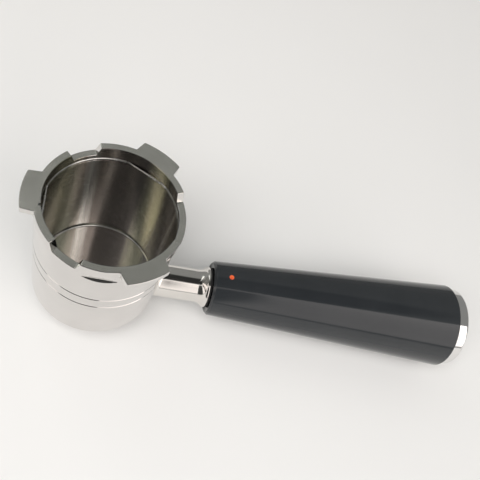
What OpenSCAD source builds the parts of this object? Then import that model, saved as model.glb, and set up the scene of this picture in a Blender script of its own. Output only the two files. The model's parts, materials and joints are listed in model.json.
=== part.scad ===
// Portafilter: a filter holder for an espresso machine of the 51 mm class.
// The cup's axis is Z, the handle runs along +X, and the nozzle's lower face is at z = 0.

/* [Cup] */
// Height of the cup's wall, from its lower edge to the raised rim
cup_h = 60; // [50:0.5:66]
// Height of the cup's lower edge above the nozzle's lower face
cup_lift = 13.1; // [10:0.1:14]
// Radius of the rim
rim_r = 29.5; // [29.3:0.1:31]
// Height of the band under the rim that has the rim's full radius
rim_band = 5; // [4.8:0.1:6]
// Radius of the bore that takes the filter basket
bore_r = 26.6; // [26:0.1:26.8]
// Depth of the parallel bore below the raised rim
bore_depth = 16; // [13:0.5:20]
// Radius of the cavity at the floor
floor_r = 25.8; // [25:0.1:26]
// Radius of the outer wall just under the rim band
wall_r1 = 29; // [28.8:0.1:29.2]
// Radius of the outer wall at its lower edge
wall_r0 = 27.3; // [27:0.1:28]
// Radius of the rounding at the lower edge
foot_round = 2.2; // [1:0.1:2.5]
// Thickness of the floor
floor_t = 3; // [2.5:0.1:4]
// Height of the lower ring groove above the lower edge
line_low_h = 27.7; // [20:0.1:30]
// Height of the upper ring groove above the lower edge
line_high_h = 34.3; // [32:0.1:44]
// Radius of the section of the two ring grooves
line_r = 0.35; // [0.2:0.05:0.5]

/* [Rim] */
// Step down from the raised rim to the low arcs
low_drop = 4.1; // [3:0.1:4.3]
// Half angle of the low arc beside the handle
low_half_handle = 21; // [16:0.5:25]
// Half angle of the two other low arcs
low_half_side = 10.5; // [8:0.5:14]
// Angle from the handle to the middle of each of the two other low arcs
low_side_at = 120.5; // [119:0.5:122]
// How far each end of a low arc leans outwards
low_lean = 1.5; // [0.5:0.1:2]

/* [Bayonet ears] */
// Radius of the tips of the ears
ear_r = 34.4; // [33:0.1:36]
// Thickness of an ear
ear_t = 2.9; // [2:0.1:4]
// Half width of an ear at its tip
ear_half_tip = 8.8; // [6:0.1:9]
// Half width of an ear at the rim
ear_half_root = 9.2; // [9:0.1:10]
// Radius of the corners of an ear
ear_corner = 0.8; // [0.4:0.1:1.2]

/* [Basket spring] */
// Radius of the spring wire
wire_r = 0.55; // [0.5:0.05:0.65]
// Depth of the middle of the groove below the raised rim
groove_depth = 6.8; // [6.6:0.1:9]
// Half the angle that each straight run of the wire spans
chord_half = 19; // [15:1:24]
// Half the angle of the gap between the ends of the wire
wire_gap_half = 4; // [3:1:10]
// Width of the slot that lets a tool lift the wire out
slot_w = 1.2; // [0.8:0.1:2]

/* [Outlet nozzle] */
// Radius of the outlet in the floor and the nozzle
outlet_r = 3.5; // [2:0.1:4.5]
// Radius of the nozzle
nozzle_r = 11; // [10:0.1:13]
// Radius of the spigot that enters the floor
spigot_r = 7; // [6:0.1:8]
// Thickness of the seal between the nozzle and the cup
seal_h = 1; // [0.5:0.1:1.5]

/* [Handle] */
// Height of the handle's axis above the cup's lower edge
axis_lift = 7.3; // [7:0.1:12]
// Radius of the neck
neck_r = 7.5; // [7:0.1:8]
// Radius of the collar at the end of the neck
collar_r = 9.3; // [9:0.1:10]
// Distance from the cup's axis to the face of the collar
collar_x = 50.6; // [46:0.1:56]
// Thickness of the seal between the collar and the grip
seal_t = 0.8; // [0.5:0.1:1.2]
// Length of the grip
grip_l = 120; // [115:1:125]
// Radius of the grip beside the neck
grip_r0 = 12.5; // [11.5:0.1:13]
// Radius of the grip at its far end
grip_r1 = 20.2; // [19.5:0.1:20.3]
// Radius of the end cap
cap_r = 18.8; // [17:0.1:18.8]
// How far the end cap stands out of the grip
cap_out = 7.8; // [6:0.1:9]
// Distance of the index dot from the grip's front face
dot_x = 7.6; // [6:0.2:14]
// Radius of the index dot
dot_r = 1.1; // [1:0.1:1.8]

/* [Fasteners] */
// Nominal radius of the tie bolt
bolt_r = 4; // [3:0.5:4]
// Length of the tie bolt under its head
bolt_l = 108; // [104:1:110]
// Length of the insert in the front of the grip
insert_l = 14; // [10:1:20]
// Radius of the locating pin
pin_r = 1; // [0.75:0.05:1.2]

/* [Hidden] */
$fn = 128;
rim_z = cup_lift + cup_h;
low_z = rim_z - low_drop;
floor_z = cup_lift + floor_t;
axis_z = cup_lift + axis_lift;
bore_z = rim_z - bore_depth;
groove_z = rim_z - groove_depth;
knuckle_r = wire_r + 0.06;
groove_half = knuckle_r + 0.3;
wire_ring_r = bore_r + 0.4;
groove_r = wire_ring_r + groove_half;
spigot_h = 1.5;
grip_x = collar_x + seal_t;
grip_end = grip_x + grip_l;
seat_r = 8.5;
seat_x = grip_end - 22;
plug_step = 2;
bolt_clear_r = bolt_r + 0.3;
washer_t = 1.6;
washer_r = 8.2;
insert_r = 8.2;
pin_y = 6.4;
pin_depth = 5;
over = 1;
ears = [60, 180, 300];
chords = [62, 182, 302];
wire_gap = 242;
slot_angle = -168;

// Points of an arc about c from angle a0 to angle a1
function arc(c, r, a0, a1, n = 6) =
    [for (i = [0:n]) c + r * [cos(a0 + (a1 - a0) * i / n), sin(a0 + (a1 - a0) * i / n)]];

// Radius of the outer wall at a height above the cup's lower edge
function wall_r(h) = wall_r0 + (wall_r1 - wall_r0) * h / (cup_h - rim_band);

// Outline points of a ring groove in the wall at height h, from below
function ring_groove(h) =
    [for (i = [0:4]) [wall_r(h) - line_r * sin(45 * i), cup_lift + h - line_r * cos(45 * i)]];

// Outline of the lower wall, from the flat of the foot to the lower ring groove
function lower_wall() =
    concat(arc([wall_r0 - foot_round, cup_lift + foot_round], foot_round, -90, 0), ring_groove(line_low_h));

// Places its children so that their Z axis is the handle's axis, starting at distance x
module on_handle(x) {
    translate([x, 0, axis_z])
        rotate([0, 90, 0])
            children();
}

// Turned shape of the cup, before the rim is cut
module cup_turned() {
    well = 1.2;
    edge = 0.3;
    rotate_extrude()
        polygon(concat(
            [[outlet_r, cup_lift]],
            lower_wall(),
            ring_groove(line_high_h),
            [[wall_r1, rim_z - rim_band], [rim_r, rim_z - rim_band + rim_r - wall_r1]],
            arc([rim_r - edge, rim_z - edge], edge, 0, 90, 3),
            arc([bore_r + edge, rim_z - edge], edge, 90, 180, 3),
            [[bore_r, groove_z + groove_half], [groove_r, groove_z + groove_half],
             [groove_r, groove_z - groove_half], [bore_r, groove_z - groove_half], [bore_r, bore_z]],
            arc([floor_r - well, floor_z + well], well, 0, -90),
            [[outlet_r, floor_z]]
        ));
}

// One low arc of the rim, centred on the angle mid and half wide at its lower corner
module low_arc(mid, half) {
    reach = 6;
    inner = bore_r - 2;
    end_angle = 1;
    back = 1;
    rotate([0, 0, mid - half + end_angle])
        rotate_extrude(angle = 2 * (half - end_angle))
            translate([inner, low_z])
                square([reach, low_drop + over]);
    for (side = [-1, 1])
        rotate([0, 0, mid + side * half])
            translate([inner, 0, low_z])
                rotate([90, 0, 90])
                    linear_extrude(reach)
                        polygon([[-side * back, 0], [0, 0], [side * low_lean, low_drop],
                                 [side * low_lean, low_drop + over], [-side * back, low_drop + over]]);
}

// Outline of one ear, pointing along +X
module ear_outline() {
    root = rim_r - 1.4;
    tip = sqrt(ear_r * ear_r - ear_half_tip * ear_half_tip);
    corner_x = tip - ear_corner - 0.1;
    corner_y = ear_half_tip - ear_corner;
    intersection() {
        circle(ear_r);
        union() {
            polygon([[root, -ear_half_root], [corner_x, -ear_half_tip],
                     [corner_x, ear_half_tip], [root, ear_half_root]]);
            translate([corner_x - 1, -corner_y])
                square([ear_r - corner_x + 1, 2 * corner_y]);
            for (side = [-1, 1])
                translate([corner_x, side * corner_y])
                    circle(ear_corner);
        }
    }
}

// Cup with its rim, bayonet ears, spring groove and nozzle socket
module cup_body() {
    color("silver")
    difference() {
        union() {
            cup_turned();
            for (a = ears)
                rotate([0, 0, a])
                    translate([0, 0, rim_z - ear_t])
                        linear_extrude(ear_t)
                            ear_outline();
        }
        low_arc(0, low_half_handle);
        low_arc(low_side_at, low_half_side);
        low_arc(-low_side_at, low_half_side);
        // Slot for lifting the spring out
        rotate([0, 0, slot_angle])
            translate([bore_r - 1, -slot_w / 2, groove_z])
                cube([1.8, slot_w, groove_depth + over]);
        // Socket for the nozzle's spigot
        translate([0, 0, cup_lift - over])
            cylinder(r = spigot_r, h = spigot_h + over);
    }
}

// One stretch of the spring wire that lies in the groove, from angle a0 to angle a1
module wire_arc(a0, a1) {
    rotate([0, 0, a0])
        rotate_extrude(angle = a1 - a0)
            translate([wire_ring_r, 0])
                circle(wire_r, $fn = 32);
}

// Retaining wire: it lies in the groove and crosses the bore in three straight runs
module basket_spring() {
    pull = 0.12;
    turn = asin(pull / wire_ring_r);
    end = chord_half + turn;
    run_x = wire_ring_r * cos(chord_half);
    run_half = wire_ring_r * sin(chord_half);
    color("gainsboro")
    translate([0, 0, groove_z]) {
        wire_arc(chords[0] + end, chords[1] - end);
        wire_arc(chords[1] + end, wire_gap - wire_gap_half);
        wire_arc(wire_gap + wire_gap_half, chords[2] - end);
        wire_arc(chords[2] + end, chords[0] + 360 - end);
        for (a = chords)
            rotate([0, 0, a]) {
                translate([run_x, pull - run_half, 0])
                    rotate([-90, 0, 0])
                        cylinder(r = wire_r, h = 2 * (run_half - pull), $fn = 32);
                // Bends at the two ends of the straight run
                for (side = [-1, 1])
                    translate([run_x, side * run_half, 0])
                        sphere(knuckle_r, $fn = 32);
            }
    }
}

// Outlet nozzle under the cup: a spigot, a shoulder with two spanner flats, and a round foot
module outlet_nozzle() {
    foot_r = nozzle_r - 1.5;
    foot_h = 3.4;
    edge = 1;
    shoulder_edge = 0.5;
    flat_half = nozzle_r - 1.5;
    flat_z = 6;
    top = cup_lift - seal_h;
    color("silver")
    difference() {
        rotate_extrude()
            polygon(concat(
                [[outlet_r, 0]],
                arc([foot_r - edge, edge], edge, -90, 0, 4),
                [[foot_r, foot_h], [nozzle_r, foot_h + nozzle_r - foot_r]],
                arc([nozzle_r - shoulder_edge, top - shoulder_edge], shoulder_edge, 0, 90, 3),
                [[spigot_r, top], [spigot_r, cup_lift + spigot_h], [outlet_r, cup_lift + spigot_h]]
            ));
        for (side = [0, 180])
            rotate([0, 0, side])
                translate([-nozzle_r, flat_half, flat_z])
                    cube([2 * nozzle_r, nozzle_r, cup_lift]);
    }
}

// Flat seal between the nozzle and the cup
module nozzle_seal() {
    color("dimgray")
    translate([0, 0, cup_lift - seal_h])
        difference() {
            cylinder(r = nozzle_r - 1.8, h = seal_h);
            translate([0, 0, -over])
                cylinder(r = spigot_r, h = seal_h + 2 * over);
        }
}

// Round hole for the locating pin, starting at distance x
module pin_hole(x) {
    on_handle(x)
        translate([0, pin_y, 0])
            cylinder(r = pin_r, h = pin_depth + over, $fn = 32);
}

// Turned neck, brazed to the cup, with a threaded hole for the tie bolt
module neck() {
    root = 1.6;
    flare = 5;
    band = 1.4;
    edge = 0.3;
    hole_l = 16;
    start = wall_r0 - foot_round;
    root_end = wall_r0 + 1.2 - start;
    face = collar_x - start;
    flare_end = acos((collar_r - neck_r) / flare - 1);
    color("silver")
    difference() {
        on_handle(start)
            rotate_extrude()
                polygon(concat(
                    [[0, 0], [neck_r + root, 0]],
                    arc([neck_r + root, root_end], root, -90, -180),
                    arc([neck_r + flare, face - band - flare * sin(flare_end)], flare, 180, flare_end, 5),
                    [[collar_r, face - edge], [collar_r - edge, face], [0, face]]
                ));
        // Saddle that fits round the cup's wall
        rotate_extrude()
            polygon(concat([[0, cup_lift]], lower_wall(), [[0, cup_lift + line_low_h]]));
        on_handle(collar_x - hole_l)
            cylinder(r = bolt_r, h = hole_l + over, $fn = 48);
        pin_hole(collar_x - pin_depth);
    }
}

// Seal between the collar and the grip
module collar_seal() {
    color("#202020")
    difference() {
        on_handle(collar_x)
            cylinder(r = collar_r - 0.2, h = seal_t);
        on_handle(collar_x - over)
            cylinder(r = bolt_clear_r, h = seal_t + 2 * over, $fn = 48);
        pin_hole(collar_x - over);
    }
}

// Moulded grip: a long cone with a rounded end, and a well behind the bolt's seat
module grip() {
    end_round = 1;
    front = 1;
    lean = atan((grip_r1 - grip_r0) / grip_l);
    color("#1c1f22")
    difference() {
        on_handle(grip_x)
            rotate_extrude()
                polygon(concat(
                    [[0, 0], [grip_r0 - front, 0], [grip_r0, front]],
                    arc([grip_r1 - end_round, grip_l - end_round], end_round, -lean, 90, 8),
                    [[0, grip_l]]
                ));
        on_handle(grip_x - over)
            cylinder(r = bolt_clear_r, h = grip_l, $fn = 48);
        on_handle(grip_x - over)
            cylinder(r = insert_r, h = insert_l + over);
        on_handle(seat_x)
            cylinder(r = seat_r, h = grip_end - seat_x + over);
        on_handle(grip_end - plug_step)
            cylinder(r = cap_r - over, h = plug_step + over);
        translate([grip_x + dot_x, 0, axis_z + grip_r0 - 1])
            cylinder(r = dot_r, h = 5, $fn = 48);
    }
}

// Metal insert moulded into the front of the grip; the locating pin enters it
module grip_insert() {
    color("darkgoldenrod")
    difference() {
        on_handle(grip_x)
            cylinder(r = insert_r, h = insert_l);
        on_handle(grip_x - over)
            cylinder(r = bolt_clear_r, h = insert_l + 2 * over, $fn = 48);
        pin_hole(grip_x - over);
    }
}

// Pin that keeps the grip from turning on the neck
module locating_pin() {
    color("gray")
    on_handle(collar_x - pin_depth)
        translate([0, pin_y, 0])
            cylinder(r = pin_r, h = 2 * pin_depth + seal_t, $fn = 32);
}

// Coloured index dot in the top of the grip
module index_dot() {
    proud = 0.05;
    top = (grip_r1 - grip_r0) * dot_x / grip_l + proud;
    color("orangered")
    translate([grip_x + dot_x, 0, axis_z + grip_r0 - 1])
        cylinder(r = dot_r, h = top + 1, $fn = 48);
}

// Tie bolt with a socket head, which pulls the grip onto the neck
module tie_bolt() {
    under_head = seat_x + 2 * washer_t;
    head_r = 6.5;
    head_h = 8;
    socket_r = 3.4;
    socket_h = 4;
    pitch = 1.25;
    turns = 10;
    crest = bolt_r - 0.05;
    thread_h = 0.65;
    shank_r = bolt_r - 0.4;
    color("slategray")
    difference() {
        union() {
            on_handle(under_head)
                cylinder(r = head_r, h = head_h, $fn = 64);
            on_handle(under_head - bolt_l)
                rotate_extrude()
                    polygon(concat(
                        [[0, 0], [bolt_r - 1, 0]],
                        [for (i = [0:turns - 1], s = [0:1])
                            [crest - thread_h * (1 - s), (i + 0.5 + s / 2) * pitch]],
                        [[shank_r, (turns + 0.6) * pitch], [shank_r, bolt_l], [0, bolt_l]]
                    ));
        }
        on_handle(under_head + head_h - socket_h)
            cylinder(r = socket_r, h = socket_h + over, $fn = 6);
    }
}

// Plain washer under the lock washer
module flat_washer() {
    color("silver")
    on_handle(seat_x)
        difference() {
            cylinder(r = washer_r, h = washer_t);
            translate([0, 0, -over])
                cylinder(r = bolt_clear_r, h = washer_t + 2 * over, $fn = 48);
        }
}

// Split lock washer under the head of the tie bolt
module lock_washer() {
    outer_r = 6.4;
    split = 1.2;
    color("dimgray")
    on_handle(seat_x + washer_t)
        difference() {
            cylinder(r = outer_r, h = washer_t);
            translate([0, 0, -over])
                cylinder(r = bolt_clear_r, h = washer_t + 2 * over, $fn = 48);
            rotate([15, 0, 0])
                translate([0, -split / 2, -2 * over])
                    cube([2 * outer_r, split, washer_t + 4 * over]);
        }
}

// Domed end cap with a stepped plug, pressed into the end of the grip
module end_cap() {
    corner = 1.6;
    tilt = 75;
    plug_l = 8;
    dome_r = (cap_r - corner * (1 - cos(tilt))) / cos(tilt);
    dome_z = cap_out - dome_r;
    edge = dome_z + (dome_r - corner) * sin(tilt);
    color("silver")
    on_handle(grip_end)
        rotate_extrude()
            polygon(concat(
                [[0, -plug_l], [seat_r, -plug_l], [seat_r, -plug_step], [cap_r - over, -plug_step]],
                [[cap_r - over, 0], [cap_r, 0]],
                arc([cap_r - corner, edge], corner, 0, tilt),
                arc([0, dome_z], dome_r, tilt + 2, 90)
            ));
}

cup_body();
basket_spring();
outlet_nozzle();
nozzle_seal();
neck();
collar_seal();
grip();
grip_insert();
locating_pin();
index_dot();
tie_bolt();
flat_washer();
lock_washer();
end_cap();
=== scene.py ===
"""Espresso filter holder: looks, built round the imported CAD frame."""

import json
import math

import bmesh
import bpy
import numpy as np
from mathutils import Matrix, Vector


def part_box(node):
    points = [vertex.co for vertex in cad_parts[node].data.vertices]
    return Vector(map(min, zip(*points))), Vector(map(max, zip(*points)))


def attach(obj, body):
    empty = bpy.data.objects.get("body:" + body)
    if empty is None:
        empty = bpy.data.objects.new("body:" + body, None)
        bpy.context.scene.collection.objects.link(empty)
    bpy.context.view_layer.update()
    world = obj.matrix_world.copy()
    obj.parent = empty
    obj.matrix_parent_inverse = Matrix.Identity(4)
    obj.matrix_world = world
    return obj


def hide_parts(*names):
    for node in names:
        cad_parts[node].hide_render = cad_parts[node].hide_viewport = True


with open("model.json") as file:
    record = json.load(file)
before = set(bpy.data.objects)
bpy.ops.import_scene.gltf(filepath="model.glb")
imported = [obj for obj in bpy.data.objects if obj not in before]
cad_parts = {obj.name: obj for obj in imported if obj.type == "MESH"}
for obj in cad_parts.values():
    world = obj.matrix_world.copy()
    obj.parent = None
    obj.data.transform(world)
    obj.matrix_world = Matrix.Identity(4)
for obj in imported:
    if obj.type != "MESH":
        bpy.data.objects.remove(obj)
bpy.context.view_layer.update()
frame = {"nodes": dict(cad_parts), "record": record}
scene = bpy.context.scene

MM = 0.001
HOLDER, SPRING = "holder", "spring"
LOW_DROP = 4.1 * MM
WELD, SAME_POINT = 1e-8, 2e-6  # distances in metres below which mesh corners and plan points are one

# Places and sizes that the frame gives
mounts = {m["name"]: m for m in frame["record"]["mounts"]}
BORE_R = mounts["basket_bore"]["dims"]["r_mm"] * MM
OUTLET_R = mounts["outlet_bore"]["dims"]["r_mm"] * MM
FLOOR_Z = mounts["outlet_bore"]["dims"]["length_mm"] * MM
RIM_Z = mounts["rim_face"]["pos_m"][2]
LOW_Z = RIM_Z - LOW_DROP
CUP_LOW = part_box("cup_body")[0]
CUP_Z = CUP_LOW.z
EAR_R = -CUP_LOW.x
SPRING_LOW, SPRING_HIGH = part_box("basket_spring")
GROOVE_Z = (SPRING_LOW.z + SPRING_HIGH.z) / 2
GRIP_LOW, GRIP_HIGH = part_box("grip")
AXIS_Z = (GRIP_LOW.z + GRIP_HIGH.z) / 2
GRIP_X, GRIP_END, GRIP_R1 = GRIP_LOW.x, GRIP_HIGH.x, (GRIP_HIGH.z - GRIP_LOW.z) / 2
NECK_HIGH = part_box("neck")[1]
COLLAR_X, COLLAR_R = NECK_HIGH.x, NECK_HIGH.y
CAP_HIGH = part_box("end_cap")[1]
DOT_LOW, DOT_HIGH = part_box("index_dot")
DOT_X, DOT_R = (DOT_LOW.x + DOT_HIGH.x) / 2, DOT_HIGH.y

# Cup
RIM_R = 29.5 * MM
RIM_BAND, BAND_STEP = 5 * MM, 0.62 * MM
WALL_R1, WALL_R0 = 29 * MM, 27.3 * MM
FOOT_ROUND = 2.2 * MM
FLOOR_R = 25.8 * MM
FLOOR_ROUND = 1.2 * MM
BORE_DEPTH, BORE_BLEND = 16 * MM, 4 * MM
LINE_HEIGHTS = (27.7 * MM, 34.3 * MM)
LINE_R = 0.35 * MM
GROOVE_HALF = 0.91 * MM
GROOVE_R = 27.9 * MM
EAR_T = 2.9 * MM
EAR_TIP, EAR_ROOT, EAR_CORNER = 8.8 * MM, 9.2 * MM, 0.8 * MM
EAR_ANGLES, EAR_MARGIN = (60, 180, 300), 3
LOW_ARCS = ((0, 21), (120.5, 10.5), (239.5, 10.5))
LOW_LEAN = 1.5 * MM
SLOT_ANGLE, SLOT_HALF, SLOT_DEPTH = 192, 0.6 * MM, 0.8 * MM
EDGE = 0.22 * MM
CHROME, SATIN, BORE, WELL = range(4)  # places in the cup's list of materials
# Cutter's flat relief in the wall beside the front ear: middle and half angle, lower and top edge, slope
RELIEF_ANGLE, RELIEF_HALF = 269, 15
RELIEF_Z, RELIEF_TOP, RELIEF_SLOPE = RIM_Z - 9.6 * MM, RIM_Z - RIM_BAND - 0.3 * MM, 0.85
# Light and dark bands of the bore: angle in degrees about the cup's axis, and tone. They stand for stains
# and for reflections of a room that isn't modelled.
BORE_STAIN_AND_REFLECTION_BANDS = (
    (-30, (0.60, 0.60, 0.59)), (8, (0.50, 0.49, 0.49)), (15, (1.0, 1.0, 1.0)), (21, (0.50, 0.48, 0.48)),
    (35, (0.40, 0.38, 0.37)), (41, (0.86, 0.83, 0.66)), (55, (0.72, 0.70, 0.56)), (64, (0.34, 0.31, 0.30)),
    (104, (0.32, 0.28, 0.26)), (113, (1.0, 0.97, 0.93)), (119, (0.58, 0.52, 0.46)),
    (134, (0.84, 0.83, 0.66)), (152, (0.68, 0.68, 0.55)), (174, (0.34, 0.32, 0.28)),
)

# Spring
WIRE_R = 0.55 * MM
WIRE_RING_R = BORE_R + 0.4 * MM
CHORDS = (62, 182, 302)  # middles of the straight runs, in degrees about the cup's axis like all angles here
CHORD_HALF = 19
WIRE_GAP, WIRE_GAP_HALF = 242, 4
WIRE_STEP, WIRE_BEND = 1.5, 1

# Handle
NECK_R = 7.5 * MM
ROOT_FILLET = 1.6 * MM
FLARE_R = 5 * MM
COLLAR_BAND = 1.4 * MM
BOLT_HOLE_R, BOLT_HOLE_L = 4 * MM, 16 * MM
GRIP_R0 = 12.5 * MM
GRIP_FRONT, GRIP_ROUND = 1 * MM, 1 * MM
CAP_R, CAP_CORNER, CAP_TILT = 18.8 * MM, 1.6 * MM, 75
CAP_STEP, CAP_PLUG = 2 * MM, 8 * MM
SEAM = 0.02 * MM
SEAT_R, SEAT_DEPTH = 8.5 * MM, 22 * MM
INSERT_R, INSERT_L = 8.2 * MM, 14 * MM
BOLT_CLEAR_R = 4.3 * MM

# Camera, at the photograph's viewing angle
CAMERA_AT = Vector((-0.01391, -0.14847, 0.29312))
CAMERA_TARGET = Vector((0.05722, 0.00919, 0.0506))
CAMERA_ROLL = 30.46
CAMERA_LENS = 51.36

# Surroundings. Across is x over depth, and up is z over depth. Each edge of the panel, the figure, the strip
# and the ceiling is a pair: where it begins and where it is complete. PANEL_GLOW is where the panel's glow
# starts and stops rising to the right, then its glow at both places.
ROOM, CEILING_DARK, FIGURE_DARK, FIGURE_ROOM_DARK = 0.27, 0.24, 0.97, 0.9
ROOM_TINT, PANEL_TINT = (0.99, 1.0, 0.97, 1), (1.0, 0.94, 0.91, 1)
BACKDROP, BACKDROP_GLOW = (0.86, 0.86, 0.85, 1), 0.95
PANEL_LEFT, PANEL_RIGHT = (-2.2, -2.0), (2.2, 2.0)
PANEL_LOW, PANEL_HIGH = (0.03, 0.12), (2.9, 2.5)
PANEL_GLOW = (0.2, 1.5, 1.0, 2.2)
FIGURE_LEFT, FIGURE_RIGHT, FIGURE_HIGH = (-1.05, -0.85), (0.12, 0.06), (2.4, 2.0)
FIGURE_LEAN = -0.13
STRIP_LEFT, STRIP_RIGHT, STRIP_LOW = (-0.85, -0.75), (-0.33, -0.43), (0.8, 1.0)
STRIP_GLOW = 1.2
CEILING = (0.89, 0.93)
NEAR_ZERO = 0.001  # least depth, so that nothing is divided by zero


def angle_of(point):
    """Angle of a plan point about the cup's axis, in degrees from 0 to 360."""
    return math.degrees(math.atan2(point[1], point[0])) % 360


def between(a, b):
    """Smaller angle between two directions in degrees."""
    return abs((a - b + 180) % 360 - 180)


def unit(vector):
    """Vector of length 1 in the same direction."""
    return vector / np.linalg.norm(vector)


def polar(radius, degrees):
    """Point at a radius and an angle, in a plane."""
    a = math.radians(degrees)
    return np.array([radius * math.cos(a), radius * math.sin(a)])


def rounded(corners, steps=5):
    """Line through (x, y, radius) corners, each rounded to an arc of its radius."""
    points = [np.array(corners[0][:2], float)]
    for before, here, after in zip(corners, corners[1:], corners[2:]):
        p, radius = np.array(here[:2], float), here[2]
        if radius <= 0:
            points.append(p)
            continue
        to_before = unit(np.array(before[:2]) - p)
        to_after = unit(np.array(after[:2]) - p)
        half = math.acos(np.clip(to_before @ to_after, -1, 1)) / 2
        centre = p + unit(to_before + to_after) * radius / math.sin(half)
        start = p + to_before * radius / math.tan(half) - centre
        end = p + to_after * radius / math.tan(half) - centre
        turn = math.pi - 2 * half
        for i in range(steps + 1):
            t = i / steps
            arm = (start * math.sin((1 - t) * turn) + end * math.sin(t * turn)) / math.sin(turn)
            points.append(centre + arm)
    points.append(np.array(corners[-1][:2], float))
    return points


def grid_piece(name, rows, slots=None):
    """Mesh through a ring of rows of points; slots gives each stretch of a row its material index."""
    mesh = bmesh.new()
    verts = [[mesh.verts.new(p) for p in row] for row in rows]
    for row, next_row in zip(verts, verts[1:] + verts[:1]):
        for j in range(len(row) - 1):
            face = mesh.faces.new((row[j], next_row[j], next_row[j + 1], row[j + 1]))
            face.smooth = True
            if slots:
                face.material_index = slots[j]
    bmesh.ops.remove_doubles(mesh, verts=mesh.verts, dist=WELD)
    bmesh.ops.dissolve_degenerate(mesh, edges=mesh.edges, dist=WELD)
    bmesh.ops.recalc_face_normals(mesh, faces=mesh.faces)
    data = bpy.data.meshes.new(name)
    mesh.to_mesh(data)
    mesh.free()
    piece = bpy.data.objects.new(name, data)
    scene.collection.objects.link(piece)
    return piece


def soften(piece):
    """Keeps flat faces flat beside their rounded edges."""
    modifier = piece.modifiers.new("face_normals", "WEIGHTED_NORMAL")
    modifier.weight = 100
    modifier.keep_sharp = True


def turned(name, profile, segments, along="X", centre=(0, 0)):
    """Turned piece: profile is (radius, distance) points about the handle's axis or an upright one."""
    rows = []
    for i in range(segments):
        a = 2 * math.pi * i / segments
        c, s = math.cos(a), math.sin(a)
        if along == "X":
            rows.append([(x, r * c, AXIS_Z + r * s) for r, x in profile])
        else:
            rows.append([(centre[0] + r * c, centre[1] + r * s, z) for r, z in profile])
    piece = grid_piece(name, rows)
    soften(piece)
    return piece


def dress(piece, materials, body, slot, *nodes):
    """Gives a piece its materials, its body and the CAD nodes it stands for; the slot argument is not used.
    """
    for material in materials:
        piece.data.materials.append(material)
    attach(piece, body)
    if nodes:
        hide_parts(*nodes)
    return piece


# Node helpers
class Nodes:
    """Small helper round a node tree."""

    def __init__(self, tree):
        self.tree = tree

    def add(self, kind, **settings):
        node = self.tree.nodes.new(kind)
        for key, value in settings.items():
            setattr(node, key, value)
        return node

    def link(self, source, target):
        self.tree.links.new(source, target)

    def feed(self, socket, value):
        if isinstance(value, bpy.types.NodeSocket):
            self.link(value, socket)
        elif value is not None:
            socket.default_value = value

    def math(self, operation, a, b=None, c=None):
        node = self.add("ShaderNodeMath", operation=operation)
        for socket, value in zip(node.inputs, (a, b, c)):
            self.feed(socket, value)
        return node.outputs[0]

    def position(self):
        """Place in the piece's own space, which is the row frame in metres."""
        return self.add("ShaderNodeTexCoord").outputs["Object"]

    def mapped(self, vector, scale):
        node = self.add("ShaderNodeMapping")
        self.feed(node.inputs["Vector"], vector)
        node.inputs["Scale"].default_value = scale
        return node.outputs[0]

    def noise(self, vector, scale, detail=3.0, roughness=0.5):
        node = self.add("ShaderNodeTexNoise")
        self.feed(node.inputs["Vector"], vector)
        node.inputs["Scale"].default_value = scale
        node.inputs["Detail"].default_value = detail
        node.inputs["Roughness"].default_value = roughness
        return node.outputs[0]

    def ramp(self, factor, stops):
        node = self.add("ShaderNodeValToRGB")
        self.feed(node.inputs[0], factor)
        ramp = node.color_ramp
        while len(ramp.elements) < len(stops):
            ramp.elements.new(0.5)
        for element, (place, colour) in zip(ramp.elements, stops):
            element.position = place
            element.color = (*colour, 1)
        return node.outputs[0]

    def remap(self, value, low, high, to_low=0.0, to_high=1.0, smooth=True):
        node = self.add("ShaderNodeMapRange", interpolation_type="SMOOTHSTEP" if smooth else "LINEAR")
        self.feed(node.inputs["Value"], value)
        for key, number in (("From Min", low), ("From Max", high), ("To Min", to_low), ("To Max", to_high)):
            node.inputs[key].default_value = number
        return node.outputs[0]

    def bump(self, height, strength, distance, normal=None):
        node = self.add("ShaderNodeBump")
        self.feed(node.inputs["Height"], height)
        node.inputs["Strength"].default_value = strength
        node.inputs["Distance"].default_value = distance
        if normal is not None:
            self.link(normal, node.inputs["Normal"])
        return node.outputs[0]


def new_material(name, **constants):
    """Material with one Principled shader; constants go straight on its sockets."""
    material = bpy.data.materials.new(name)
    material.use_nodes = True
    nodes = Nodes(material.node_tree)
    shader = material.node_tree.nodes["Principled BSDF"]
    for key, value in constants.items():
        shader.inputs[key.replace("_", " ")].default_value = value
    return material, nodes, shader


def grey(value):
    """Neutral colour."""
    return (value, value, value)


def darker(colour, share):
    """Colour at a share of its brightness."""
    return tuple(share * c for c in colour)


def round_coordinates(nodes):
    """Angle about the cup's axis, radius and height, for marks that run round the cup."""
    split = nodes.add("ShaderNodeSeparateXYZ")
    nodes.link(nodes.position(), split.inputs[0])
    x, y, z = split.outputs
    angle = nodes.math("ARCTAN2", y, x)
    squares = nodes.math("ADD", nodes.math("MULTIPLY", x, x), nodes.math("MULTIPLY", y, y))
    radius = nodes.math("SQRT", squares)
    return angle, radius, z


def chrome_material(name, roughness=0.07, tint=(0.80, 0.79, 0.78)):
    """Polished chrome plate: faint cloudiness, a trace of orange peel and a few hairlines."""
    material, nodes, shader = new_material(name, Metallic=1.0)
    place = nodes.position()
    cloud = nodes.noise(place, 60, 3)
    nodes.feed(shader.inputs["Base Color"], nodes.ramp(cloud, ((0.3, darker(tint, 0.93)), (0.7, tint))))
    hairs = nodes.noise(nodes.mapped(place, (60, 60, 2600)), 1.0, 2)
    rough = nodes.math("MULTIPLY_ADD", nodes.math("ADD", cloud, hairs), 0.05, roughness - 0.045)
    nodes.feed(shader.inputs["Roughness"], rough)
    peel = nodes.noise(place, 420, 2)
    nodes.feed(shader.inputs["Normal"], nodes.bump(peel, 0.10, 0.00002))
    return material


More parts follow.
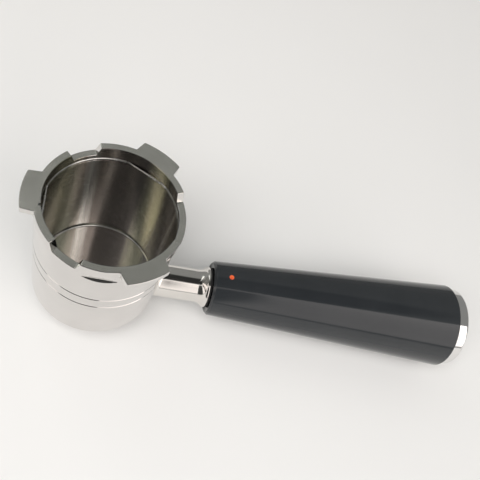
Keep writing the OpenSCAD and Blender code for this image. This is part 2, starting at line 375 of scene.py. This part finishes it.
def satin_material(name):
    """Lapped rim: flat satin metal with fine arcs round the axis and small handling marks."""
    material, nodes, shader = new_material(name, Metallic=1.0)
    place = nodes.position()
    angle, radius, z = round_coordinates(nodes)
    lay = nodes.add("ShaderNodeCombineXYZ")
    nodes.feed(lay.inputs[0], nodes.math("MULTIPLY", radius, 9000.0))
    nodes.feed(lay.inputs[1], nodes.math("MULTIPLY", angle, 3.0))
    nodes.feed(lay.inputs[2], nodes.math("MULTIPLY", z, 9000.0))
    arcs = nodes.noise(lay.outputs[0], 1.0, 3)
    cloud = nodes.noise(place, 90, 4, 0.6)
    tone = nodes.math("ADD", nodes.math("MULTIPLY", arcs, 0.35), nodes.math("MULTIPLY", cloud, 0.65))
    colour = nodes.ramp(tone, ((0.35, (0.66, 0.655, 0.60)), (0.65, (0.78, 0.77, 0.715))))
    nodes.feed(shader.inputs["Base Color"], colour)
    nodes.feed(shader.inputs["Roughness"], nodes.remap(tone, 0.3, 0.7, 0.17, 0.27, smooth=False))
    nodes.feed(shader.inputs["Normal"], nodes.bump(arcs, 0.25, 0.00002))
    return material


def bore_material(name):
    """Turned inside of the cup: fine lathe lines stretch reflections upright, over light and dark bands that
    are partly stains and partly painted reflections and painted highlight streaks.
    """
    material, nodes, shader = new_material(name, Metallic=1.0, Anisotropic=0.85, Anisotropic_Rotation=0.25)
    angle, radius, z = round_coordinates(nodes)
    lay = nodes.add("ShaderNodeCombineXYZ")
    nodes.feed(lay.inputs[0], nodes.math("MULTIPLY", radius, 12000.0))
    nodes.feed(lay.inputs[1], nodes.math("MULTIPLY", angle, 9.0))
    nodes.feed(lay.inputs[2], nodes.math("MULTIPLY", z, 12000.0))
    lines = nodes.noise(lay.outputs[0], 1.0, 3, 0.6)
    broad = nodes.add("ShaderNodeCombineXYZ")
    nodes.feed(broad.inputs[0], nodes.math("MULTIPLY", angle, 5.0))
    nodes.feed(broad.inputs[2], nodes.math("MULTIPLY", z, 14.0))
    # Noise that bends the bands of stain and painted reflection a little round the cup
    stain_and_reflection_warp = nodes.noise(broad.outputs[0], 2.0, 3)
    turn = nodes.math("ADD", angle, nodes.math("MULTIPLY_ADD", stain_and_reflection_warp, 0.16, -0.08))
    # Bands by angle round the cup: partly stains, partly painted reflections and painted highlights
    stops = [(1 / 2 + math.radians(degrees) / (2 * math.pi), tone) for degrees, tone in BORE_STAIN_AND_REFLECTION_BANDS]
    bands = nodes.ramp(nodes.math("MULTIPLY_ADD", turn, 1 / (2 * math.pi), 0.5), stops)
    grain = nodes.ramp(lines, ((0.3, grey(0.72)), (0.7, grey(1.0))))
    colour = nodes.add("ShaderNodeMix", data_type="RGBA", blend_type="MULTIPLY")
    colour.inputs["Factor"].default_value = 1.0
    nodes.link(bands, colour.inputs["A"])
    nodes.link(grain, colour.inputs["B"])
    nodes.link(colour.outputs["Result"], shader.inputs["Base Color"])
    nodes.feed(shader.inputs["Roughness"], nodes.remap(lines, 0.3, 0.7, 0.18, 0.28, smooth=False))
    nodes.feed(shader.inputs["Normal"], nodes.bump(lines, 0.15, 0.00001))
    tangent = nodes.add("ShaderNodeTangent", direction_type="RADIAL", axis="Z")
    nodes.link(tangent.outputs[0], shader.inputs["Tangent"])
    return material


def well_material(name):
    """Floor of the cup: finely faced, almost a mirror, with faint rings."""
    material, nodes, shader = new_material(name, Metallic=1.0)
    angle, radius, z = round_coordinates(nodes)
    rings = nodes.add("ShaderNodeCombineXYZ")
    nodes.feed(rings.inputs[0], nodes.math("MULTIPLY", radius, 5000.0))
    nodes.feed(rings.inputs[1], nodes.math("MULTIPLY", angle, 2.0))
    lines = nodes.noise(rings.outputs[0], 1.0, 2)
    nodes.feed(shader.inputs["Base Color"],
               nodes.ramp(lines, ((0.3, (0.70, 0.69, 0.65)), (0.7, (0.80, 0.79, 0.75)))))
    nodes.feed(shader.inputs["Roughness"], nodes.remap(lines, 0.3, 0.7, 0.10, 0.16, smooth=False))
    nodes.feed(shader.inputs["Normal"], nodes.bump(lines, 0.15, 0.00001))
    return material


def steel_material(name, colour, roughness):
    """Plain bright or plated steel of the wire and the fasteners."""
    material, nodes, shader = new_material(name, Metallic=1.0)
    place = nodes.position()
    cloud = nodes.noise(place, 240, 3)
    nodes.feed(shader.inputs["Base Color"], nodes.ramp(cloud, ((0.3, darker(colour, 0.8)), (0.7, colour))))
    nodes.feed(shader.inputs["Roughness"], nodes.remap(cloud, 0.3, 0.7, roughness, roughness + 0.12))
    nodes.feed(shader.inputs["Normal"], nodes.bump(nodes.noise(place, 1500, 2), 0.15, 0.00001))
    return material


def rubber_material(name):
    """Dull black rubber."""
    material, nodes, shader = new_material(name)
    place = nodes.position()
    grain = nodes.noise(place, 1800, 3)
    nodes.feed(shader.inputs["Base Color"], nodes.ramp(grain, ((0.3, grey(0.012)), (0.7, grey(0.03)))))
    nodes.feed(shader.inputs["Roughness"], nodes.remap(grain, 0.3, 0.7, 0.55, 0.75))
    nodes.feed(shader.inputs["Normal"], nodes.bump(grain, 0.4, 0.00003))
    return material


def grip_material(name):
    """Moulded black plastic, satin and slightly blue, with a fine grain and rubbed patches."""
    material, nodes, shader = new_material(name)
    place = nodes.position()
    cloud = nodes.noise(place, 28, 4, 0.6)
    grain = nodes.noise(place, 2200, 2)
    flow = nodes.noise(nodes.mapped(place, (6, 140, 140)), 1.0, 3)
    nodes.feed(shader.inputs["Base Color"],
               nodes.ramp(cloud, ((0.3, (0.021, 0.024, 0.027)), (0.7, (0.028, 0.031, 0.034)))))
    rough = nodes.math("MULTIPLY_ADD", nodes.math("ADD", cloud, flow), 0.06, 0.03)
    nodes.feed(shader.inputs["Roughness"], rough)
    fine = nodes.bump(grain, 0.12, 0.00001)
    nodes.feed(shader.inputs["Normal"], nodes.bump(flow, 0.10, 0.00006, fine))
    return material


def dot_material(name):
    """Glossy orange-red filling, paler where it is thin."""
    material, nodes, shader = new_material(name, Coat_Weight=0.4, Coat_Roughness=0.1)
    cloud = nodes.noise(nodes.position(), 900, 2)
    nodes.feed(shader.inputs["Base Color"],
               nodes.ramp(cloud, ((0.35, (0.72, 0.075, 0.02)), (0.7, (0.90, 0.16, 0.045)))))
    nodes.feed(shader.inputs["Roughness"], nodes.remap(cloud, 0.3, 0.7, 0.25, 0.4))
    return material


def brass_material(name):
    """Turned brass."""
    return steel_material(name, (0.75, 0.56, 0.28), 0.22)


def floor_material(name):
    """Plain pale table top with a barely visible mottle."""
    material, nodes, shader = new_material(name, Specular_IOR_Level=0.25)
    cloud = nodes.noise(nodes.position(), 3, 3)
    nodes.feed(shader.inputs["Base Color"],
               nodes.ramp(cloud, ((0.3, (0.86, 0.858, 0.845)), (0.7, (0.885, 0.883, 0.872)))))
    nodes.feed(shader.inputs["Roughness"], nodes.remap(cloud, 0.3, 0.7, 0.45, 0.55))
    return material


# Cup
def rim_heights():
    """Angles and heights of the rim's top all round, with rounded steps at the low arcs."""
    points = []
    for middle, half in LOW_ARCS:
        lean = math.degrees(LOW_LEAN / BORE_R)
        corners = [(-half - lean - 2, RIM_Z, 0), (-half - lean, RIM_Z, EDGE), (-half, LOW_Z, EDGE),
                   (half, LOW_Z, EDGE), (half + lean, RIM_Z, EDGE), (half + lean + 2, RIM_Z, 0)]
        along = math.radians(1) * BORE_R
        line = rounded([(a * along, z, r) for a, z, r in corners], 4)
        points += [((middle + s / along) % 360, z) for s, z in line]
    return sorted(points)


def ear_points():
    """Outline of one ear about angle 0, from one side to the other."""
    root = math.degrees(math.asin(EAR_ROOT / RIM_R))
    tip = math.degrees(math.asin(EAR_TIP / EAR_R))
    corners = [(*polar(RIM_R, root + EAR_MARGIN), 0), (*polar(RIM_R, root), 0.5 * MM),
               (*polar(EAR_R, tip), EAR_CORNER), (*polar(EAR_R, tip - EAR_MARGIN), 0)]
    side = rounded(corners, 6)
    across = [polar(EAR_R, a) for a in np.linspace(tip - EAR_MARGIN, EAR_MARGIN - tip, 25)[1:-1]]
    return side + across + [p * np.array([1, -1]) for p in reversed(side)]


def plan_columns():
    """Plan points, outward directions, angles and top heights of the cup's columns, in order round it."""
    outline = []
    for middle in EAR_ANGLES:
        c, s = math.cos(math.radians(middle)), math.sin(math.radians(middle))
        outline += [np.array([c * p[0] - s * p[1], s * p[0] + c * p[1]]) for p in ear_points()]
    heights = rim_heights()
    ear_span = math.degrees(math.asin(EAR_ROOT / RIM_R)) + EAR_MARGIN
    outline += [polar(RIM_R, a) for a in np.arange(0, 360, 0.75)
                if all(between(a, m) >= ear_span for m in EAR_ANGLES)]
    outline += [polar(RIM_R, a) for a, _ in heights]
    slot = math.degrees(SLOT_HALF / BORE_R)
    outline += [polar(EAR_R, SLOT_ANGLE + side * (slot + gap)) for side in (-1, 1) for gap in (0, 0.12)]
    outline.sort(key=angle_of)
    plan = [outline[0]]
    for p in outline[1:]:
        if np.linalg.norm(p - plan[-1]) > SAME_POINT:
            plan.append(p)
    angles = np.array([angle_of(p) for p in plan])
    known = np.array([a for a, _ in heights])
    tops = np.interp(angles, known, [z for _, z in heights], period=360)
    outward = []
    for i, p in enumerate(plan):
        ahead = unit(plan[(i + 1) % len(plan)] - p)
        behind = unit(p - plan[i - 1])
        turn = unit(ahead + behind)
        outward.append(np.array([turn[1], -turn[0]]))
    return plan, outward, angles, tops


def wall_radius(height):
    """Radius of the outer wall at a height above the cup's lower edge."""
    return WALL_R0 + (WALL_R1 - WALL_R0) * height / (RIM_Z - CUP_Z - RIM_BAND)


def outer_profile():
    """Outer profile below the rim, from the outlet hole to the rim band."""
    corners = [(OUTLET_R, CUP_Z, 0), (WALL_R0, CUP_Z, FOOT_ROUND)]
    for h in LINE_HEIGHTS:
        corners += [(wall_radius(h - LINE_R), CUP_Z + h - LINE_R, 0.08 * MM),
                    (wall_radius(h) - LINE_R, CUP_Z + h, 0.12 * MM),
                    (wall_radius(h + LINE_R), CUP_Z + h + LINE_R, 0.08 * MM)]
    fine_levels = np.arange(RELIEF_Z, RELIEF_Z + 1.4 * MM, 0.1 * MM)
    levels = np.linspace(RELIEF_Z + 1.5 * MM, RELIEF_TOP, 12)
    corners += [(wall_radius(z - CUP_Z), z, 0) for z in (*fine_levels, *levels)]
    step = RIM_R - WALL_R1
    corners += [(WALL_R1, RIM_Z - RIM_BAND, 0.2 * MM), (RIM_R, RIM_Z - RIM_BAND + step, 0.15 * MM),
                (RIM_R, RIM_Z - RIM_BAND + step + 0.1 * MM, 0)]
    return rounded(corners, 8)


def inner_profile():
    """Inner profile below the top land of the bore, from the spring groove to the outlet hole."""
    lip = 0.12 * MM
    corners = [(BORE_R, GROOVE_Z + GROOVE_HALF + 0.4 * MM, 0), (BORE_R, GROOVE_Z + GROOVE_HALF, lip),
               (GROOVE_R, GROOVE_Z + GROOVE_HALF, lip), (GROOVE_R, GROOVE_Z - GROOVE_HALF, lip),
               (BORE_R, GROOVE_Z - GROOVE_HALF, lip), (BORE_R, RIM_Z - BORE_DEPTH, BORE_BLEND),
               (FLOOR_R, FLOOR_Z + FLOOR_ROUND, 0.3 * MM), (FLOOR_R, FLOOR_Z, 0.9 * FLOOR_ROUND),
               (OUTLET_R, FLOOR_Z, 0.3 * MM), (OUTLET_R, CUP_Z, 0)]
    return rounded(corners, 6)


def relieved(radius, angle, z):
    """Radius of the wall where the cutter's flat relief beside the front ear has taken some of it away."""
    off = math.radians(angle - RELIEF_ANGLE)
    half = math.radians(RELIEF_HALF)
    if abs(off) > half or not RELIEF_Z < z < RELIEF_TOP:
        return radius
    flat = max(radius * math.cos(half), radius - (z - RELIEF_Z) * RELIEF_SLOPE, radius - (RELIEF_TOP - z))
    return min(radius, flat / math.cos(off))


def make_cup():
    """Cup with its ears, low arcs, ring lines, relief, spring groove and lifting slot, in one mesh."""
    plan, outward, angles, tops = plan_columns()
    outer, inner = outer_profile(), inner_profile()
    arc = [math.radians(a) for a in np.linspace(0, 90, 5)]
    slot = math.degrees(SLOT_HALF / BORE_R)
    rows = []
    for p, n, angle, top in zip(plan, outward, angles, tops):
        c, s = math.cos(math.radians(angle)), math.sin(math.radians(angle))
        reach = np.linalg.norm(p)
        row = []
        for r, z in outer:
            r = relieved(r, angle, z)
            row.append((r * c, r * s, z))
        under = max(top - EAR_T, RIM_Z - RIM_BAND + BAND_STEP)
        proud = min(1.0, (reach - RIM_R) / EDGE)
        row.append((RIM_R * c, RIM_R * s, under))
        for a in reversed(arc):
            back = EDGE * proud * (1 - math.cos(a))
            row.append((p[0] - n[0] * back, p[1] - n[1] * back, under + EDGE * proud * (1 - math.sin(a))))
        for a in arc:
            back = EDGE * (1 - math.cos(a))
            row.append((p[0] - n[0] * back, p[1] - n[1] * back, top - EDGE * (1 - math.sin(a))))
        slotted = between(angle, SLOT_ANGLE) < slot + 0.06
        mouth = BORE_R + (SLOT_DEPTH if slotted else 0)
        for a in reversed(arc):
            r = mouth + EDGE * (1 - math.cos(a))
            row.append((r * c, r * s, top - EDGE * (1 - math.sin(a))))
        row.append((mouth * c, mouth * s, GROOVE_Z + GROOVE_HALF + 0.5 * MM))
        row += [(r * c, r * s, z) for r, z in inner]
        rows.append(row)
    outside = len(outer) + 1 + 2 * len(arc) - 1
    top_face = outside + 1
    slots = [CHROME] * outside + [SATIN]
    slots += [BORE if z > FLOOR_Z + FLOOR_ROUND + 0.3 * MM else WELL for _, _, z in rows[0][top_face:-1]]
    piece = grid_piece("cup", rows, slots)
    for face in piece.data.polygons:
        if face.material_index == SATIN and abs(face.normal.z) < 0.6:
            face.material_index = CHROME
    soften(piece)
    return piece


def make_spring():
    """Retaining wire, swept along its route in the groove and across the bore."""
    route = []

    def arc(a0, a1):
        for a in np.arange(a0, a1 + 0.01, WIRE_STEP):
            route.append((*polar(WIRE_RING_R, a), GROOVE_Z))

    start = WIRE_GAP + WIRE_GAP_HALF
    chords = [CHORDS[2], CHORDS[0] + 360, CHORDS[1] + 360]
    for chord in chords:
        arc(start, chord - CHORD_HALF - WIRE_BEND)
        a, b = polar(WIRE_RING_R, chord - CHORD_HALF), polar(WIRE_RING_R, chord + CHORD_HALF)
        for t in np.linspace(0.03, 0.97, 9):
            route.append((*(a + (b - a) * t), GROOVE_Z))
        start = chord + CHORD_HALF + WIRE_BEND
    arc(start, WIRE_GAP + 360 - WIRE_GAP_HALF)
    curve = bpy.data.curves.new("spring_wire", "CURVE")
    curve.dimensions = "3D"
    curve.bevel_depth = WIRE_R
    curve.bevel_resolution = 6
    curve.use_fill_caps = True
    spline = curve.splines.new("POLY")
    spline.points.add(len(route) - 1)
    for point, place in zip(spline.points, route):
        point.co = (*place, 1)
    spline.use_smooth = True
    piece = bpy.data.objects.new("spring_wire", curve)
    scene.collection.objects.link(piece)
    return piece


# Handle
def make_neck():
    """Neck: a saddle and fillet on the cup's wall, a plain bar and a flared collar."""
    flare_end = math.acos((COLLAR_R - NECK_R) / FLARE_R - 1)
    flare_x = COLLAR_X - COLLAR_BAND - FLARE_R * math.sin(flare_end)
    root = [(ROOT_FILLET * (1 - math.sin(a)), ROOT_FILLET * (1 - math.cos(a)))
            for a in np.linspace(0, math.pi / 2, 9)]
    rest = [(NECK_R, x) for x in np.linspace(WALL_R0 + 4 * MM, flare_x, 6)]
    rest += [(NECK_R + FLARE_R * (1 + math.cos(a)), flare_x + FLARE_R * math.sin(a))
             for a in np.linspace(math.pi, flare_end, 12)[1:]]
    rest += rounded([rest[-1] + (0,), (COLLAR_R, COLLAR_X, 0.3 * MM), (BOLT_HOLE_R, COLLAR_X, 0.3 * MM),
                     (BOLT_HOLE_R, COLLAR_X - BOLT_HOLE_L, 0), (0, COLLAR_X - BOLT_HOLE_L, 0)], 4)[1:]
    rows = []
    segments = 192
    for i in range(segments):
        a = 2 * math.pi * i / segments
        c, s = math.cos(a), math.sin(a)
        row = []
        for flare, off in root:
            r = NECK_R + flare
            y, z = r * c, AXIS_Z + r * s
            wall = wall_radius(max(z - CUP_Z, 0))
            if z < CUP_Z + FOOT_ROUND:
                drop = min(FOOT_ROUND, CUP_Z + FOOT_ROUND - z)
                wall = WALL_R0 - FOOT_ROUND + math.sqrt(FOOT_ROUND ** 2 - drop ** 2)
            row.append((math.sqrt(wall ** 2 - y ** 2) + off - 0.3 * MM, y, z))
        row += [(x, r * c, AXIS_Z + r * s) for r, x in rest]
        rows.append(row)
    piece = grid_piece("neck_bar", rows)
    soften(piece)
    return piece


def make_grip():
    """Moulded grip with its chamfered front, rounded end, bolt hole and the well for the cap."""
    well = GRIP_END - SEAT_DEPTH
    corners = [(BOLT_CLEAR_R, GRIP_X + INSERT_L, 0), (INSERT_R, GRIP_X + INSERT_L, 0), (INSERT_R, GRIP_X, 0),
               (GRIP_R0 - GRIP_FRONT, GRIP_X, 0.3 * MM), (GRIP_R0, GRIP_X + GRIP_FRONT, 0.5 * MM),
               (GRIP_R1, GRIP_END, GRIP_ROUND), (CAP_R - MM, GRIP_END, 0.2 * MM),
               (CAP_R - MM, GRIP_END - CAP_STEP, 0), (SEAT_R, GRIP_END - CAP_STEP, 0), (SEAT_R, well, 0),
               (BOLT_CLEAR_R, well, 0), (BOLT_CLEAR_R, GRIP_X + INSERT_L, 0)]
    return turned("grip_cone", rounded(corners, 10), 256)


def make_cap():
    """Domed end cap: a straight band, a rounded shoulder, a shallow dome and the stepped plug."""
    tilt = math.radians(CAP_TILT)
    dome_r = (CAP_R - CAP_CORNER * (1 - math.cos(tilt))) / math.cos(tilt)
    dome_x = CAP_HIGH.x - dome_r
    band_x = dome_x + (dome_r - CAP_CORNER) * math.sin(tilt)
    plug = GRIP_END - CAP_PLUG
    corners = [(0, plug, 0), (SEAT_R, plug, 0.5 * MM), (SEAT_R, GRIP_END - CAP_STEP, 0),
               (CAP_R - MM, GRIP_END - CAP_STEP, 0), (CAP_R - MM, GRIP_END + SEAM, 0),
               (CAP_R, GRIP_END + SEAM, 0.3 * MM), (CAP_R, band_x, 0)]
    shoulder = [(CAP_R - CAP_CORNER * (1 - math.cos(a)), band_x + CAP_CORNER * math.sin(a))
                for a in np.linspace(0, tilt, 12)[1:]]
    dome = [(dome_r * math.cos(a), dome_x + dome_r * math.sin(a))
            for a in np.linspace(tilt, math.pi / 2, 20)[1:]]
    return turned("cap_dome", rounded(corners, 6) + shoulder + dome, 256)


def make_dot():
    """Index dot: a small domed filling with a shallow dip in the middle."""
    low, top = DOT_LOW.z, DOT_HIGH.z
    profile = rounded([(0, low, 0), (DOT_R, low, 0), (DOT_R, top - 0.02 * MM, 0.2 * MM),
                       (0.75 * DOT_R, top + 0.12 * MM, 0.4 * MM), (0.3 * DOT_R, top + 0.02 * MM, 0.4 * MM),
                       (0, top + 0.02 * MM, 0)], 4)
    return turned("index_spot", profile, 64, along="Z", centre=(DOT_X, 0))


def make_seal():
    """Collar seal: a thin ring with rounded edges."""
    low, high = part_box("collar_seal")
    r = high.y
    profile = rounded([(BOLT_CLEAR_R, low.x, 0), (r, low.x, 0.25 * MM), (r, high.x, 0.25 * MM),
                       (BOLT_CLEAR_R, high.x, 0), (BOLT_CLEAR_R, low.x, 0)], 4)
    return turned("collar_ring", profile, 128)


# Stage
def make_floor():
    """Pale table top at the height the holder stands on."""
    size = 6.0
    mesh = bpy.data.meshes.new("table_top")
    corners = [(-size, -size, 0), (size, -size, 0), (size, size, 0), (-size, size, 0)]
    mesh.from_pydata(corners, [], [(0, 1, 2, 3)])
    table = bpy.data.objects.new("table_top", mesh)
    scene.collection.objects.link(table)
    mesh.materials.append(floor_material("table_pale"))


def make_world():
    """Studio surroundings: a wide soft panel in front with a dark figure before it, a strip behind on the
    left, a dark ceiling and a grey room. The camera itself sees a pale backdrop."""
    world = bpy.data.worlds.new("studio")
    scene.world = world
    world.use_nodes = True
    nodes = Nodes(world.node_tree)
    background = world.node_tree.nodes["Background"]
    split = nodes.add("ShaderNodeSeparateXYZ")
    nodes.link(nodes.add("ShaderNodeTexCoord").outputs["Generated"], split.inputs[0])
    x, y, z = split.outputs
    depth = nodes.math("MAXIMUM", nodes.math("MULTIPLY", y, -1.0), NEAR_ZERO)
    across = nodes.math("DIVIDE", x, depth)
    up = nodes.math("DIVIDE", z, depth)
    sides = nodes.math("MULTIPLY", nodes.remap(across, *PANEL_LEFT), nodes.remap(across, *PANEL_RIGHT))
    heights = nodes.math("MULTIPLY", nodes.remap(up, *PANEL_LOW), nodes.remap(up, *PANEL_HIGH))
    slanted = nodes.math("MULTIPLY_ADD", up, FIGURE_LEAN, across)
    figure = nodes.math("MULTIPLY", nodes.remap(across, *FIGURE_LEFT), nodes.remap(slanted, *FIGURE_RIGHT))
    figure = nodes.math("MULTIPLY", figure, nodes.remap(up, *FIGURE_HIGH))
    panel = nodes.math("MULTIPLY", sides, heights)
    panel = nodes.math("MULTIPLY", panel, nodes.math("MULTIPLY_ADD", figure, -FIGURE_DARK, 1.0))
    room = nodes.math("MULTIPLY_ADD", nodes.remap(z, *CEILING), -CEILING_DARK, ROOM)
    room = nodes.math("MULTIPLY", room, nodes.math("MULTIPLY_ADD", figure, -FIGURE_ROOM_DARK, 1.0))
    behind = nodes.math("MAXIMUM", y, NEAR_ZERO)
    back_across, back_up = nodes.math("DIVIDE", x, behind), nodes.math("DIVIDE", z, behind)
    strip_left = nodes.remap(back_across, *STRIP_LEFT)
    strip = nodes.math("MULTIPLY", strip_left, nodes.remap(back_across, *STRIP_RIGHT))
    strip = nodes.math("MULTIPLY", strip, nodes.remap(back_up, *STRIP_LOW))
    room = nodes.math("MULTIPLY_ADD", strip, STRIP_GLOW, room)
    glow = nodes.remap(across, *PANEL_GLOW, smooth=False)
    light = nodes.math("MULTIPLY_ADD", panel, glow, room)
    tint = nodes.add("ShaderNodeMix", data_type="RGBA")
    nodes.feed(tint.inputs["Factor"], panel)
    tint.inputs["A"].default_value = ROOM_TINT
    tint.inputs["B"].default_value = PANEL_TINT
    nodes.link(tint.outputs["Result"], background.inputs["Color"])
    nodes.link(light, background.inputs["Strength"])
    seen = nodes.add("ShaderNodeBackground")
    seen.inputs["Color"].default_value = BACKDROP
    seen.inputs["Strength"].default_value = BACKDROP_GLOW
    path = nodes.add("ShaderNodeLightPath")
    mix = nodes.add("ShaderNodeMixShader")
    nodes.link(path.outputs["Is Camera Ray"], mix.inputs[0])
    nodes.link(background.outputs[0], mix.inputs[1])
    nodes.link(seen.outputs[0], mix.inputs[2])
    nodes.link(mix.outputs[0], world.node_tree.nodes["World Output"].inputs["Surface"])


def area_light(name, at, target, size, power, colour, reflected):
    """Square soft light aimed at a point."""
    data = bpy.data.lights.new(name, "AREA")
    data.size = size
    data.energy = power
    data.color = colour
    light = bpy.data.objects.new(name, data)
    light.location = at
    light.rotation_mode = "QUATERNION"
    light.rotation_quaternion = (Vector(target) - Vector(at)).to_track_quat("-Z", "Y")
    light.visible_glossy = reflected
    scene.collection.objects.link(light)


def make_lights():
    """Soft overhead light from the front left; it isn't reflected, so the panel shapes the highlights."""
    area_light("top_fill", at=(-0.4, -0.7, 1.4), target=(0.05, 0, 0), size=1.2, power=20,
               colour=(1.0, 0.99, 0.98), reflected=False)


def make_camera():
    """Camera at the photograph's place, lens and roll."""
    data = bpy.data.cameras.new("camera")
    data.lens = CAMERA_LENS
    data.sensor_width = 36
    data.clip_start, data.clip_end = 0.01, 50
    camera = bpy.data.objects.new("camera", data)
    camera.location = CAMERA_AT
    camera.rotation_mode = "QUATERNION"
    aim = (CAMERA_TARGET - CAMERA_AT).to_track_quat("-Z", "Y").to_matrix()
    turn = Matrix.Rotation(math.radians(CAMERA_ROLL), 3, "Z")
    camera.rotation_quaternion = (aim @ turn).to_quaternion()
    scene.collection.objects.link(camera)
    scene.camera = camera


# Assembly
chrome = chrome_material("chrome_plate")
cup_plate = chrome_material("cup_plate", 0.07, (0.71, 0.69, 0.67))
satin = satin_material("satin_rim")
bore = bore_material("turned_bore")
well = well_material("faced_floor")
wire = steel_material("spring_steel", (0.74, 0.73, 0.70), 0.18)
plated = steel_material("plated_steel", (0.45, 0.45, 0.46), 0.3)
rubber = rubber_material("black_rubber")

dress(make_cup(), [cup_plate, satin, bore, well], HOLDER, "cup_metal", "cup_body")
dress(make_spring(), [wire], SPRING, "spring_wire", "basket_spring")
dress(make_neck(), [chrome_material("neck_plate", 0.12, (0.80, 0.775, 0.74))], HOLDER, "neck_metal", "neck")
dress(make_grip(), [grip_material("grip_plastic")], HOLDER, "grip_plastic", "grip")
dress(make_cap(), [chrome], HOLDER, "cap_metal", "end_cap")
dress(make_dot(), [dot_material("dot_filling")], HOLDER, "dot_plastic", "index_dot")
dress(make_seal(), [rubber], HOLDER, "seal_rubber", "collar_seal")
cad_looks = {
    "outlet_nozzle": chrome, "nozzle_seal": rubber, "grip_insert": brass_material("turned_brass"),
    "locating_pin": plated, "tie_bolt": plated, "flat_washer": plated, "lock_washer": plated,
}
for node, look in cad_looks.items():
    data = frame["nodes"][node].data
    data.materials.clear()
    data.materials.append(look)

make_floor()
make_world()
make_lights()
make_camera()
scene.view_settings.view_transform = "Standard"
scene.view_settings.look = "None"
